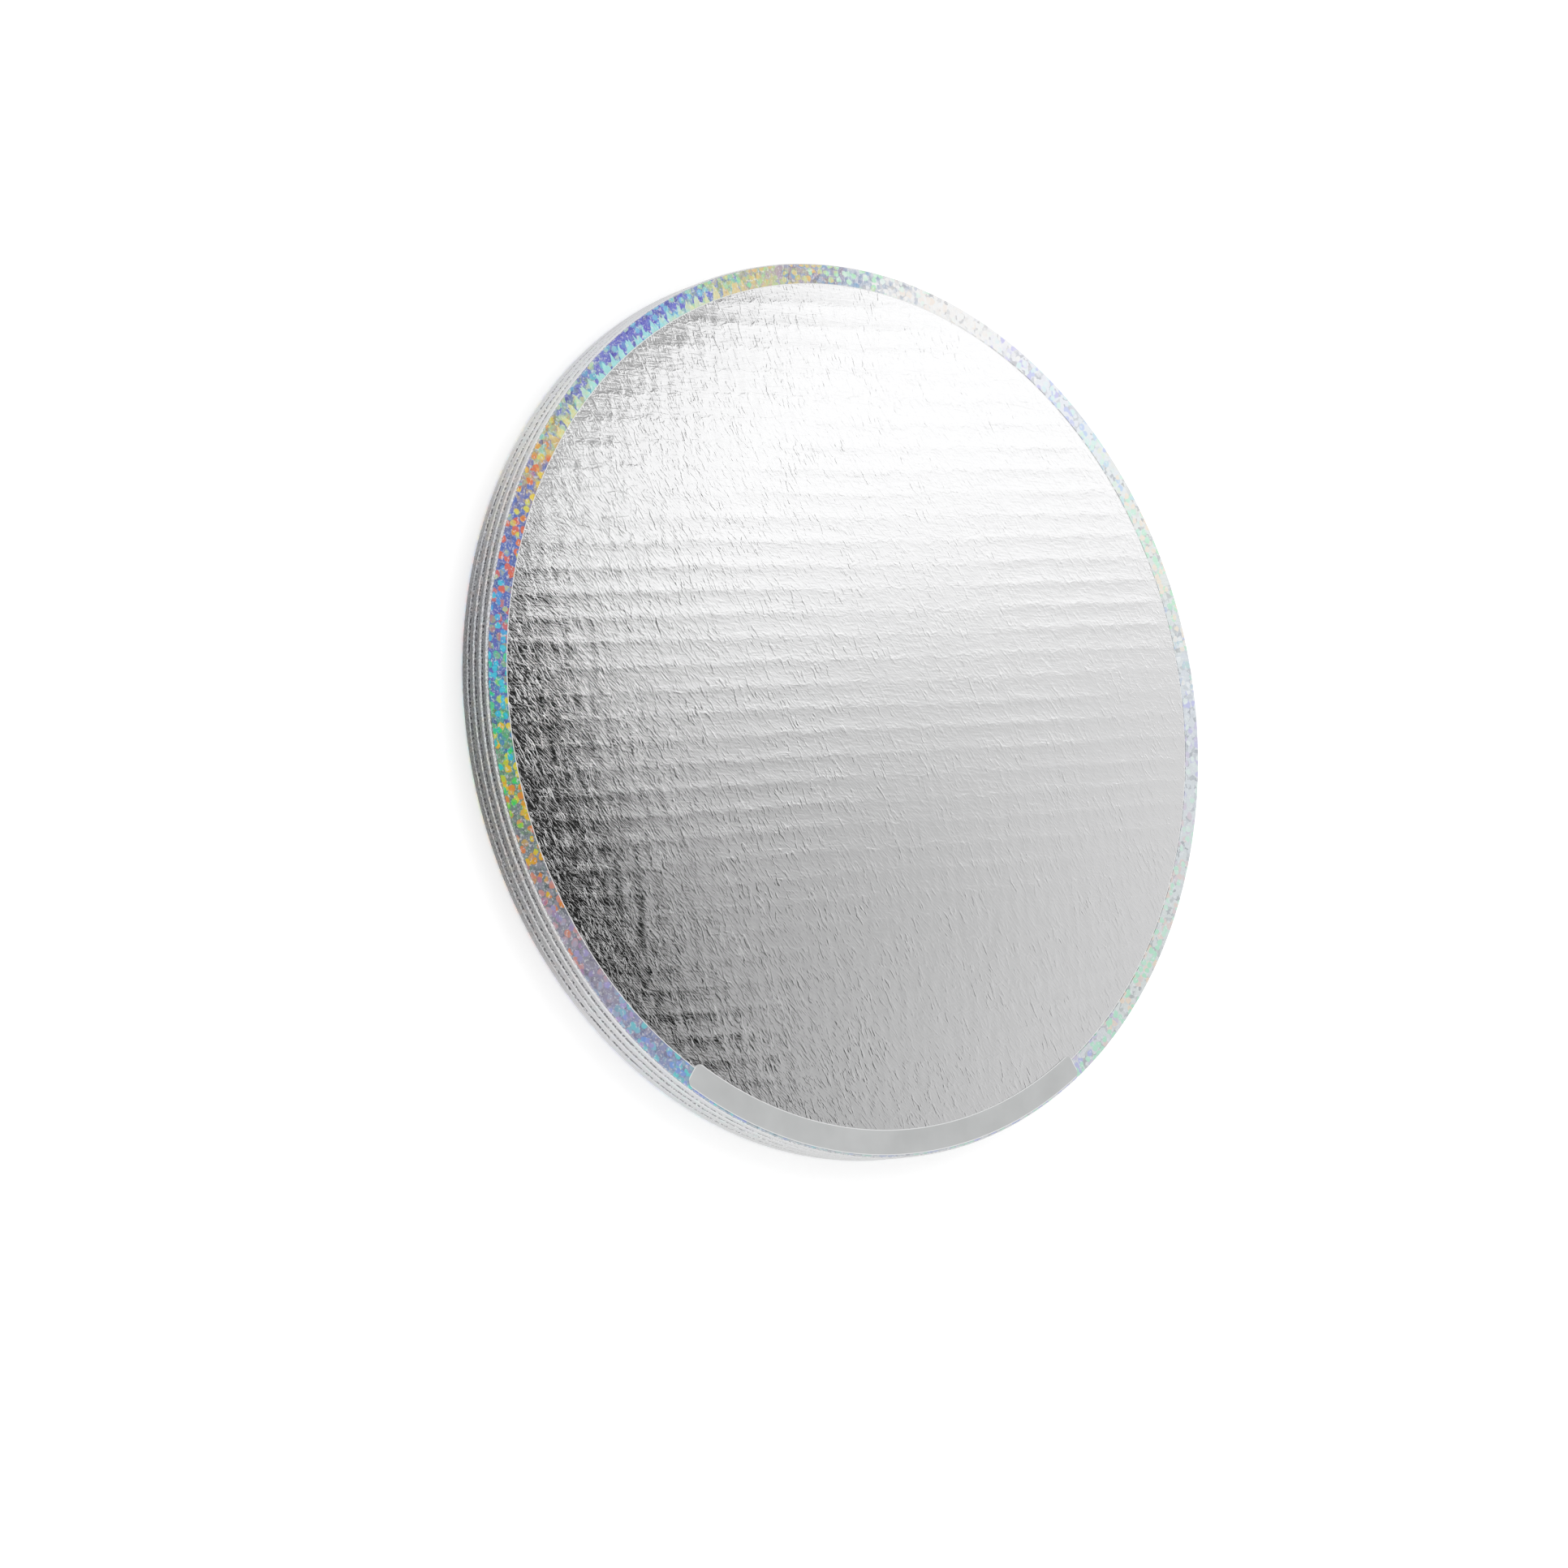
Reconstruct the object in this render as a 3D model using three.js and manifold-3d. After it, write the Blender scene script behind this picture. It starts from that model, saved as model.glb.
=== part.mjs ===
// Round cake drum: four corrugated board plies, wrapped at the rim and faced with foil paper.
// It lies flat with its foil face up. The origin is at the centre of its underside, +Z is up,
// +X runs along the flutes of the board, and every size is in millimetres.
import * as THREE from 'three';
import { mergeVertices } from 'three/addons/utils/BufferGeometryUtils.js';
import Module from 'manifold-3d';

const wasm = await Module();
wasm.setup();

// Board
const DRUM_DIAMETER = 304.8;
const PLY_COUNT = 4;
const PLY_THICKNESS = 3.9;

// Foil papers
const FACING_THICKNESS = 0.2;
const WRAP_THICKNESS = 0.3;
const RIM_BULGE = 0.8;
const TURN_OVER_WIDTH = 13.6;
const VISIBLE_BAND = 6.4;
const BACK_MARGIN = 6.4;

// Label film on the front of the rim
const LABEL_WIDTH = 8.4;
const LABEL_THICKNESS = 0.15;
const LABEL_EDGE_MARGIN = 0.4;
const LABEL_CORNER = 2.5;
const LABEL_SPAN = THREE.MathUtils.degToRad(67.5);
const LABEL_MIDDLE = THREE.MathUtils.degToRad(-94.25);
const LABEL_RAMP = 1.2;

// Fit and facets
const CLEARANCE = 0.3;
const RIM_FACETS = 96;
const OUTER_ARC_STEPS = 4;
const INNER_ARC_STEPS = 2;

// Sizes that follow
const DRUM_RADIUS = DRUM_DIAMETER / 2;
const CORE_BOTTOM = FACING_THICKNESS;
const CORE_TOP = CORE_BOTTOM + PLY_COUNT * PLY_THICKNESS;
const DRUM_HEIGHT = CORE_TOP + FACING_THICKNESS;
const FACE_EDGE_RADIUS = DRUM_RADIUS - RIM_BULGE;
const TURN_OVER_RADIUS = FACE_EDGE_RADIUS - TURN_OVER_WIDTH;
const FACE_DISC_RADIUS = FACE_EDGE_RADIUS - VISIBLE_BAND;
const BACK_DISC_RADIUS = FACE_EDGE_RADIUS - BACK_MARGIN;
const BULGE_RADIUS = ((PLY_THICKNESS / 2) ** 2 + RIM_BULGE ** 2) / (2 * RIM_BULGE);
const BULGE_CENTRE = DRUM_RADIUS - BULGE_RADIUS;

const plyMiddle = (index) => CORE_BOTTOM + (index + 0.5) * PLY_THICKNESS;

// Points up one ply's rounded rim, between two heights
function rimArc(index, inset, low, high, steps) {
  const middle = plyMiddle(index);
  const arcRadius = BULGE_RADIUS - inset;
  const from = Math.asin((low - middle) / arcRadius);
  const to = Math.asin((high - middle) / arcRadius);
  const points = [];
  for (let i = 0; i <= steps; i++) {
    const angle = from + (to - from) * i / steps;
    points.push(new THREE.Vector2(
      BULGE_CENTRE + arcRadius * Math.cos(angle),
      middle + arcRadius * Math.sin(angle),
    ));
  }
  return points;
}

// Profile turned round the Z axis
function turned(profile) {
  const geometry = new THREE.LatheGeometry(profile, RIM_FACETS);
  geometry.rotateX(Math.PI / 2);
  return geometry;
}

function toManifold(geometry) {
  const bare = geometry.clone();
  bare.deleteAttribute('normal');
  bare.deleteAttribute('uv');
  const merged = mergeVertices(bare, 1e-4);
  const triVerts = Uint32Array.from(merged.index.array);
  const vertProperties = Float32Array.from(merged.attributes.position.array);
  return new wasm.Manifold(new wasm.Mesh({ numProp: 3, vertProperties, triVerts }));
}

function toGeometry(solid) {
  const mesh = solid.getMesh();
  const geometry = new THREE.BufferGeometry();
  geometry.setAttribute('position', new THREE.BufferAttribute(mesh.vertProperties, 3));
  geometry.setIndex(new THREE.BufferAttribute(mesh.triVerts, 1));
  geometry.computeVertexNormals();
  return geometry;
}

function disc(radius, bottom, top) {
  return turned([
    new THREE.Vector2(0, bottom),
    new THREE.Vector2(radius, bottom),
    new THREE.Vector2(radius, top),
    new THREE.Vector2(0, top),
  ]);
}

// Rounded board disc. The outermost plies are pressed down where the wrap turns over them.
function corePly(index) {
  const bottom = CORE_BOTTOM + index * PLY_THICKNESS;
  const top = bottom + PLY_THICKNESS;
  const pressedBottom = index === 0 ? bottom + WRAP_THICKNESS : bottom;
  const pressedTop = index === PLY_COUNT - 1 ? top - WRAP_THICKNESS : top;
  const pressedRadius = TURN_OVER_RADIUS - CLEARANCE;
  const profile = [new THREE.Vector2(0, bottom)];
  if (pressedBottom > bottom) {
    profile.push(new THREE.Vector2(pressedRadius, bottom));
    profile.push(new THREE.Vector2(pressedRadius, pressedBottom));
  }
  profile.push(...rimArc(index, WRAP_THICKNESS + CLEARANCE, pressedBottom, pressedTop, INNER_ARC_STEPS));
  if (pressedTop < top) {
    profile.push(new THREE.Vector2(pressedRadius, pressedTop));
    profile.push(new THREE.Vector2(pressedRadius, top));
  }
  profile.push(new THREE.Vector2(0, top));
  return turned(profile);
}

// Strip of foil paper pressed round the rim and turned over both faces
function edgeWrap() {
  const outer = [];
  const inner = [];
  for (let index = 0; index < PLY_COUNT; index++) {
    const bottom = CORE_BOTTOM + index * PLY_THICKNESS;
    const top = bottom + PLY_THICKNESS;
    const innerBottom = index === 0 ? bottom + WRAP_THICKNESS : bottom;
    const innerTop = index === PLY_COUNT - 1 ? top - WRAP_THICKNESS : top;
    const shared = index === 0 ? 0 : 1;
    outer.push(...rimArc(index, 0, bottom, top, OUTER_ARC_STEPS).slice(shared));
    inner.push(...rimArc(index, WRAP_THICKNESS, innerBottom, innerTop, INNER_ARC_STEPS).slice(shared));
  }
  return turned([
    new THREE.Vector2(TURN_OVER_RADIUS, CORE_BOTTOM),
    ...outer,
    new THREE.Vector2(TURN_OVER_RADIUS, CORE_TOP),
    new THREE.Vector2(TURN_OVER_RADIUS, CORE_TOP - WRAP_THICKNESS),
    ...inner.reverse(),
    new THREE.Vector2(TURN_OVER_RADIUS, CORE_BOTTOM + WRAP_THICKNESS),
    new THREE.Vector2(TURN_OVER_RADIUS, CORE_BOTTOM),
  ]);
}

// Curved strip with round corners, seen from above
function labelOutline() {
  const outerRadius = FACE_EDGE_RADIUS - LABEL_EDGE_MARGIN;
  const innerRadius = outerRadius - LABEL_WIDTH;
  const outline = new THREE.Shape();
  const corner = (radius, side, inward) => {
    const turn = LABEL_CORNER / radius;
    const edge = LABEL_MIDDLE + side * LABEL_SPAN / 2;
    const flank = radius + inward * LABEL_CORNER;
    return {
      flank: [flank * Math.cos(edge), flank * Math.sin(edge)],
      point: [radius * Math.cos(edge), radius * Math.sin(edge)],
      arc: edge - side * turn,
    };
  };
  const outerLow = corner(outerRadius, -1, -1);
  const outerHigh = corner(outerRadius, 1, -1);
  const innerHigh = corner(innerRadius, 1, 1);
  const innerLow = corner(innerRadius, -1, 1);
  outline.absarc(0, 0, outerRadius, outerLow.arc, outerHigh.arc, false);
  outline.quadraticCurveTo(...outerHigh.point, ...outerHigh.flank);
  outline.lineTo(...innerHigh.flank);
  const innerTurn = [innerRadius * Math.cos(innerHigh.arc), innerRadius * Math.sin(innerHigh.arc)];
  outline.quadraticCurveTo(...innerHigh.point, ...innerTurn);
  outline.absarc(0, 0, innerRadius, innerHigh.arc, innerLow.arc, true);
  outline.quadraticCurveTo(...innerLow.point, ...innerLow.flank);
  outline.lineTo(...outerLow.flank);
  const outerTurn = [outerRadius * Math.cos(outerLow.arc), outerRadius * Math.sin(outerLow.arc)];
  outline.quadraticCurveTo(...outerLow.point, ...outerTurn);
  return outline;
}

// Film that lies on the turned-over foil and ramps up onto the face disc
function labelStrip() {
  const foot = FACE_DISC_RADIUS + CLEARANCE + LABEL_RAMP;
  const head = FACE_DISC_RADIUS + CLEARANCE;
  const innermost = FACE_DISC_RADIUS - LABEL_WIDTH;
  const film = toManifold(turned([
    new THREE.Vector2(innermost, DRUM_HEIGHT),
    new THREE.Vector2(head, DRUM_HEIGHT),
    new THREE.Vector2(foot, CORE_TOP),
    new THREE.Vector2(DRUM_RADIUS, CORE_TOP),
    new THREE.Vector2(DRUM_RADIUS, CORE_TOP + LABEL_THICKNESS),
    new THREE.Vector2(foot, CORE_TOP + LABEL_THICKNESS),
    new THREE.Vector2(head, DRUM_HEIGHT + LABEL_THICKNESS),
    new THREE.Vector2(innermost, DRUM_HEIGHT + LABEL_THICKNESS),
    new THREE.Vector2(innermost, DRUM_HEIGHT),
  ]));
  const cutter = new THREE.ExtrudeGeometry(labelOutline(), {
    depth: DRUM_HEIGHT,
    bevelEnabled: false,
    curveSegments: 20,
  });
  cutter.translate(0, 0, DRUM_HEIGHT / 2);
  return toGeometry(film.intersect(toManifold(cutter)));
}

function material(color, roughness, metalness) {
  return new THREE.MeshStandardMaterial({ color, roughness, metalness });
}

function mesh(name, geometry, finish) {
  const piece = new THREE.Mesh(geometry, finish);
  piece.name = name;
  return piece;
}

const drum = new THREE.Group();
drum.add(mesh('back_disc', disc(BACK_DISC_RADIUS, 0, CORE_BOTTOM), material(0xe9e6df, 0.8, 0)));
for (let index = 0; index < PLY_COUNT; index++) {
  drum.add(mesh(`core_ply_${index + 1}`, corePly(index), material(0xb58a58, 0.95, 0)));
}
drum.add(mesh('edge_wrap', edgeWrap(), material(0xb9bcc4, 0.25, 1)));
drum.add(mesh('face_disc', disc(FACE_DISC_RADIUS, CORE_TOP, DRUM_HEIGHT), material(0xc9cacc, 0.3, 1)));
drum.add(mesh('label_strip', labelStrip(), material(0xc3c6c5, 0.4, 0)));

export default drum;
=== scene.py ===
# %% [markdown]
# # A round cake board with a foil face
#
# The board is a stack of corrugated plies. A strip of rainbow foil paper is pressed round its
# rim and turned over both faces, a disc of crinkled silver foil covers the upper face, and a
# plain paper disc covers the underside. A blank strip of film lies on the front of the rim.
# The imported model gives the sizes, and this script gives each surface its form and finish.

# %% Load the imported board
import math

import bpy
from mathutils import Matrix, Vector, noise


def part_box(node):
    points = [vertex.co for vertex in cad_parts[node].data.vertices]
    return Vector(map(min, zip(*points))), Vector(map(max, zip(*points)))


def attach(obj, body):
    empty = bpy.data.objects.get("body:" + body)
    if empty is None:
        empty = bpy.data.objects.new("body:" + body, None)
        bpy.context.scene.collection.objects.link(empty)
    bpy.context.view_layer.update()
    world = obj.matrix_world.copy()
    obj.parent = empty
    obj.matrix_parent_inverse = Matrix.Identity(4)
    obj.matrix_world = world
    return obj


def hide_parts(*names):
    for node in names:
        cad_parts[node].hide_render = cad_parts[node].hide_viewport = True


MM = 0.001

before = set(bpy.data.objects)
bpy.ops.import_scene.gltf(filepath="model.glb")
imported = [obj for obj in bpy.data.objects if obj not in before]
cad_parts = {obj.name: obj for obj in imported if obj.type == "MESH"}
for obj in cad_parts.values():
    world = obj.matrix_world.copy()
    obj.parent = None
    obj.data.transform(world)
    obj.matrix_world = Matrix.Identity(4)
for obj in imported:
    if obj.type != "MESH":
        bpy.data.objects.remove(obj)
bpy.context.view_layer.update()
face_low, face_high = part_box("face_disc")
wrap_low, wrap_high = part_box("edge_wrap")
FACE_RADIUS = face_high.x
DRUM_RADIUS = wrap_high.x
print("board", round(DRUM_RADIUS * 2000, 1), "mm across,", round(face_high.z * 1000, 1), "mm thick")

# %% [markdown]
# ## Camera
#
# A photograph taken from a distance through a long lens shows a round board as a clean
# ellipse. The camera looks down at the lying board along the same line, and it is rolled,
# because the board in the photograph stands on its edge. Its place is found from the two
# ellipses of the rim.

# %% Camera
CAMERA_PLACE = Vector((-0.8610, -0.1222, 1.0695))
CAMERA_AIM = Vector((-0.0394, -0.0247, 0.0160))
CAMERA_ROLL = math.radians(77.88)
CAMERA_LENS = 92.95


def look_from(place, aim, roll):
    """The matrix of a camera at a place, aimed at a point and rolled about its own axis."""
    turn = (aim - place).to_track_quat("-Z", "Y").to_matrix().to_4x4()
    return Matrix.Translation(place) @ turn @ Matrix.Rotation(roll, 4, "Z")


camera_data = bpy.data.cameras.new("camera")
camera_data.lens = CAMERA_LENS
camera_data.sensor_width = 36
camera = bpy.data.objects.new("camera", camera_data)
camera.matrix_world = look_from(CAMERA_PLACE, CAMERA_AIM, CAMERA_ROLL)
bpy.context.scene.collection.objects.link(camera)
bpy.context.scene.camera = camera
bpy.context.scene.view_settings.view_transform = "Standard"

# %% [markdown]
# ## Helpers for materials
#
# Every finish here is a Principled shader fed by a few texture nodes. These helpers add a
# node with its values, so that a material reads as a short list of steps. The patterns are
# drawn on the place of a point on its piece, or on a map of the piece in metres.

# %% Node helpers
WHITE = (1, 1, 1, 1)


def new_material(name):
    """A material with an empty node tree, its output and its Principled shader."""
    material = bpy.data.materials.new(name)
    material.use_nodes = True
    tree = material.node_tree
    tree.nodes.clear()
    output = tree.nodes.new("ShaderNodeOutputMaterial")
    shader = tree.nodes.new("ShaderNodeBsdfPrincipled")
    tree.links.new(shader.outputs["BSDF"], output.inputs["Surface"])
    return material, tree, shader


def plug(tree, value, socket):
    """Links an output to a socket, or writes a plain value on it."""
    if isinstance(value, bpy.types.NodeSocket):
        tree.links.new(value, socket)
    else:
        socket.default_value = value


def math_node(tree, operation, first, second=0.0):
    node = tree.nodes.new("ShaderNodeMath")
    node.operation = operation
    plug(tree, first, node.inputs[0])
    plug(tree, second, node.inputs[1])
    return node.outputs[0]


def stretched(tree, vector, length, width, turn=0.0):
    """A pattern space drawn out to a length along one direction in the plane of the face."""
    node = tree.nodes.new("ShaderNodeMapping")
    node.vector_type = "TEXTURE"
    plug(tree, vector, node.inputs["Vector"])
    node.inputs["Scale"].default_value = (length, width, width)
    node.inputs["Rotation"].default_value = (0, 0, turn)
    return node.outputs["Vector"]


def noise_node(tree, vector, scale=1.0, detail=2.0, distortion=0.0):
    """Soft noise. Most of its values lie between 0.3 and 0.7."""
    node = tree.nodes.new("ShaderNodeTexNoise")
    plug(tree, vector, node.inputs["Vector"])
    node.inputs["Scale"].default_value = scale
    node.inputs["Detail"].default_value = detail
    node.inputs["Distortion"].default_value = distortion
    return node.outputs["Fac"]


def remap(tree, value, low, high, to_low=0.0, to_high=1.0):
    """A value moved from one range to another, and held inside it."""
    node = tree.nodes.new("ShaderNodeMapRange")
    plug(tree, value, node.inputs["Value"])
    node.inputs["From Min"].default_value = low
    node.inputs["From Max"].default_value = high
    node.inputs["To Min"].default_value = to_low
    node.inputs["To Max"].default_value = to_high
    return node.outputs["Result"]


def between(tree, value, start, full, fading, end):
    """One from full to fading, with a soft start and a soft end."""
    starts = remap(tree, value, start, full)
    ends = remap(tree, value, fading, end, 1.0, 0.0)
    return math_node(tree, "MULTIPLY", starts, ends)


def ramp(tree, value, stops):
    """A colour ramp of (place, colour) stops."""
    node = tree.nodes.new("ShaderNodeValToRGB")
    plug(tree, value, node.inputs["Fac"])
    elements = node.color_ramp.elements
    for index, (place, colour) in enumerate(stops):
        element = elements[index] if index < 2 else elements.new(place)
        element.position = place
        element.color = (*colour, 1.0)
    return node.outputs["Color"]


def mix_colour(tree, share, first, second):
    node = tree.nodes.new("ShaderNodeMix")
    node.data_type = "RGBA"
    plug(tree, share, node.inputs["Factor"])
    plug(tree, first, node.inputs["A"])
    plug(tree, second, node.inputs["B"])
    return node.outputs["Result"]


def bump(tree, height, distance, normal=None):
    """The normal of a surface with this relief, laid over the relief that it had before."""
    node = tree.nodes.new("ShaderNodeBump")
    plug(tree, height, node.inputs["Height"])
    node.inputs["Distance"].default_value = distance
    node.inputs["Strength"].default_value = 1.0
    if normal is not None:
        plug(tree, normal, node.inputs["Normal"])
    return node.outputs["Normal"]


def object_space(tree):
    return tree.nodes.new("ShaderNodeTexCoord").outputs["Object"]


def flattened(tree, vector):
    """The same place with its height taken out."""
    node = tree.nodes.new("ShaderNodeVectorMath")
    node.operation = "MULTIPLY"
    plug(tree, vector, node.inputs[0])
    node.inputs[1].default_value = (1, 1, 0)
    return node.outputs["Vector"]


def length_of(tree, vector):
    node = tree.nodes.new("ShaderNodeVectorMath")
    node.operation = "LENGTH"
    plug(tree, vector, node.inputs[0])
    return node.outputs["Value"]


def parts_of(tree, vector):
    """The X, Y and Z of a vector."""
    node = tree.nodes.new("ShaderNodeSeparateXYZ")
    plug(tree, vector, node.inputs["Vector"])
    return node.outputs["X"], node.outputs["Y"], node.outputs["Z"]


def uv_space(tree, name):
    """The places that a piece's own map gives to its points."""
    node = tree.nodes.new("ShaderNodeUVMap")
    node.uv_map = name
    return node.outputs["UV"]


def mix_shaders(tree, share, first, second):
    node = tree.nodes.new("ShaderNodeMixShader")
    plug(tree, share, node.inputs["Fac"])
    tree.links.new(first, node.inputs[1])
    tree.links.new(second, node.inputs[2])
    return node.outputs["Shader"]


# %% [markdown]
# ## Helpers for shapes
#
# Each piece starts from a primitive or from a drawn outline that is spun round the board's
# axis. `deselect` comes before every operator, because an operator acts on all that is
# selected.

# %% Shape helpers


def deselect():
    if bpy.context.mode != "OBJECT":
        bpy.ops.object.mode_set(mode="OBJECT")
    bpy.ops.object.select_all(action="DESELECT")


def activate(piece):
    deselect()
    piece.select_set(True)
    bpy.context.view_layer.objects.active = piece


def outline_object(name, points):
    """A piece that is only a line through (radius, height) points in the XZ plane."""
    mesh = bpy.data.meshes.new(name)
    edges = [(i, i + 1) for i in range(len(points) - 1)]
    mesh.from_pydata([(radius, 0, height) for radius, height in points], edges, [])
    piece = bpy.data.objects.new(name, mesh)
    bpy.context.scene.collection.objects.link(piece)
    return piece


def turn_round(piece, steps):
    """Turns an outline round the board's axis with a Screw modifier, and closes it."""
    activate(piece)
    lathe = piece.modifiers.new("lathe", "SCREW")
    lathe.axis = "Z"
    lathe.angle = math.tau
    lathe.steps = steps
    lathe.render_steps = steps
    lathe.use_merge_vertices = True
    bpy.ops.object.modifier_apply(modifier=lathe.name)
    bpy.ops.object.mode_set(mode="EDIT")
    bpy.ops.mesh.select_all(action="SELECT")
    bpy.ops.mesh.remove_doubles(threshold=0.002 * MM)
    bpy.ops.mesh.normals_make_consistent(inside=False)
    bpy.ops.object.mode_set(mode="OBJECT")
    return piece


def smooth(piece, sharp_over):
    """Smooth shading, but for edges sharper than an angle in degrees."""
    activate(piece)
    bpy.ops.object.shade_smooth()
    bpy.ops.object.shade_smooth_by_angle(angle=math.radians(sharp_over))


def outward_normals(piece):
    activate(piece)
    bpy.ops.object.mode_set(mode="EDIT")
    bpy.ops.mesh.select_all(action="SELECT")
    bpy.ops.mesh.normals_make_consistent(inside=False)
    bpy.ops.object.mode_set(mode="OBJECT")


def fresh_map(piece, name):
    """Takes off the maps that a primitive comes with, and adds an empty one."""
    for layer in list(piece.data.uv_layers):
        piece.data.uv_layers.remove(layer)
    return piece.data.uv_layers.new(name=name)


def dress(piece, material, slot, *nodes):
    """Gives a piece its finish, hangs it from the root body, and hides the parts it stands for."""
    piece.data.materials.clear()
    piece.data.materials.append(material)
    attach(piece, "root")
    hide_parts(*nodes)
    print(piece.name, len(piece.data.polygons), "faces")


# %% [markdown]
# ## The foil face
#
# The silver foil is glued straight onto the corrugated board. Between two flutes the paper
# sags a few hundredths of a millimetre, so the board reads through the foil as soft parallel
# lines with a crisp upper edge. A square grid is bent to a disc by moving its points, which
# leaves no cuts in it, and its skin is then pushed up and down. A UV map follows the lines, so
# that the finish can draw the finest creases just where the relief has its crests.

# %% Foil face
FACE_CELLS = 300
FLUTE_PITCH = 8.1 * MM
FLUTE_SAG = 0.06 * MM
WAVE_RELIEF = 0.13 * MM
RIPPLE_RELIEF = 0.03 * MM
EDGE_EASE = 9 * MM
FACE_INSET = 0.05 * MM


def flute_drift(x, y):
    """How far a flute line wanders off the straight."""
    wide = noise.noise(Vector((x * 9, y * 9, 3.1)))
    short = noise.noise(Vector((x * 110, y * 60, 6.4)))
    return MM * (1.3 * wide + 0.75 * short)


def sag_height(x, y):
    """Height of the paper between two flutes, highest on a crest."""
    phase = (y + flute_drift(x, y)) / FLUTE_PITCH % 1.0
    strength = 0.8 + 1.1 * noise.noise(Vector((x * 14, y * 34, 7.7)))
    skewed = phase + 0.08 * math.sin(math.tau * phase)
    return FLUTE_SAG * max(strength, 0.15) * (0.5 + 0.5 * math.cos(math.tau * skewed))


def wave_height(x, y):
    """Height of the wide waves and the small ripples of the whole face."""
    wide = noise.noise(Vector((x * 15, y * 7, 5.5)))
    ripple = noise.noise(Vector((x * 300, y * 110, 1.3)))
    return WAVE_RELIEF * wide + RIPPLE_RELIEF * ripple


def edge_fade(x, y):
    """One over the face, falling to nought at its cut edge."""
    return min(1.0, max(0.0, (FACE_RADIUS - math.hypot(x, y)) / EDGE_EASE))


def make_foil_face():
    deselect()
    bpy.ops.mesh.primitive_grid_add(
        x_subdivisions=FACE_CELLS, y_subdivisions=FACE_CELLS, size=2, location=(0, 0, 0))
    piece = bpy.context.object
    piece.name = "foil_face"
    top = face_high.z - FACE_INSET
    for vertex in piece.data.vertices:
        u, v, _ = vertex.co
        x = FACE_RADIUS * u * math.sqrt(1 - v * v / 2)
        y = FACE_RADIUS * v * math.sqrt(1 - u * u / 2)
        relief = sag_height(x, y) + wave_height(x, y)
        vertex.co = (x, y, top + relief * edge_fade(x, y))
    activate(piece)
    bpy.ops.object.mode_set(mode="EDIT")
    bpy.ops.mesh.select_mode(type="EDGE")
    bpy.ops.mesh.select_all(action="DESELECT")
    bpy.ops.mesh.select_non_manifold()
    bpy.ops.mesh.extrude_region_move(TRANSFORM_OT_translate={"value": (0, 0, face_low.z - top)})
    bpy.ops.mesh.edge_face_add()
    bpy.ops.mesh.select_all(action="SELECT")
    bpy.ops.mesh.normals_make_consistent(inside=False)
    bpy.ops.object.mode_set(mode="OBJECT")
    smooth(piece, 40)
    return piece


def flute_uv(piece):
    """A map in metres: U runs along the flutes, V across them, straightened to their crests."""
    layer = fresh_map(piece, "flutes")
    places = [(v.co.x, v.co.y + flute_drift(v.co.x, v.co.y)) for v in piece.data.vertices]
    for loop in piece.data.loops:
        layer.data[loop.index].uv = places[loop.vertex_index]


foil_face = make_foil_face()
flute_uv(foil_face)

# %% [markdown]
# ## Silver foil finish
#
# Metallised paper is a soft mirror: fully metallic, nearly smooth, and covered in creases
# that each catch the light on one flank. Steep dashes lie in rows that lean to one side,
# weaker ones and a fine hatching cross them, shallow lines run along the flutes, and a broken
# zigzag crease follows each flute crest. All of them are bump, because they are only
# hundredths of a millimetre deep. The cut edge shows the white paper that carries the metal.

# %% Silver foil material
SILVER = (0.86, 0.86, 0.865, 1.0)
CUT_PAPER = (0.90, 0.90, 0.89, 1.0)
STEEP_LEAN = math.radians(-70)
EASY_LEAN = math.radians(-54)
HATCH_LEAN = math.radians(-43)
DRAWN_LEAN = math.radians(-6)


def crest_crease(tree):
    """A thin zigzag line on each flute crest, broken along its length."""
    _, across, _ = parts_of(tree, uv_space(tree, "flutes"))
    shake = noise_node(tree, object_space(tree), 320, 4.0)
    zigzag = remap(tree, shake, 0.3, 0.7, -1.2 * MM, 1.2 * MM)
    off_crest = math_node(tree, "PINGPONG", math_node(tree, "ADD", across, zigzag), FLUTE_PITCH / 2)
    line = remap(tree, off_crest, 0.0, 0.8 * MM, 1.0, 0.0)
    gaps = noise_node(tree, stretched(tree, object_space(tree), 5 * MM, 2.5 * MM), 1.0, 3.0)
    return math_node(tree, "MULTIPLY", line, remap(tree, gaps, 0.47, 0.58))


def creased_normal(tree, space):
    """The normal of the foil, with one kind of crease laid over another."""
    steep = noise_node(tree, stretched(tree, space, 4.4 * MM, 1.25 * MM, STEEP_LEAN), 1.0, 1.0, 0.3)
    easy = noise_node(tree, stretched(tree, space, 3.8 * MM, 1.0 * MM, EASY_LEAN), 1.0, 1.5, 0.3)
    hatch = noise_node(tree, stretched(tree, space, 3.2 * MM, 0.5 * MM, HATCH_LEAN), 1.0, 1.0, 0.2)
    drawn = noise_node(tree, stretched(tree, space, 6 * MM, 1.2 * MM, DRAWN_LEAN), 1.0, 2.0, 0.8)
    nap = noise_node(tree, space, 3600, 2.0)
    worn = remap(tree, noise_node(tree, space, 75, 2.0), 0.38, 0.62, 0.25, 1.0)
    dashes = math_node(tree, "MULTIPLY", remap(tree, steep, 0.57, 0.66), worn)
    normal = bump(tree, dashes, 0.032 * MM)
    normal = bump(tree, remap(tree, easy, 0.57, 0.66), 0.014 * MM, normal)
    normal = bump(tree, remap(tree, hatch, 0.45, 0.6), 0.006 * MM, normal)
    normal = bump(tree, crest_crease(tree), 0.018 * MM, normal)
    normal = bump(tree, remap(tree, drawn, 0.42, 0.62), 0.010 * MM, normal)
    return bump(tree, nap, 0.002 * MM, normal)


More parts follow.
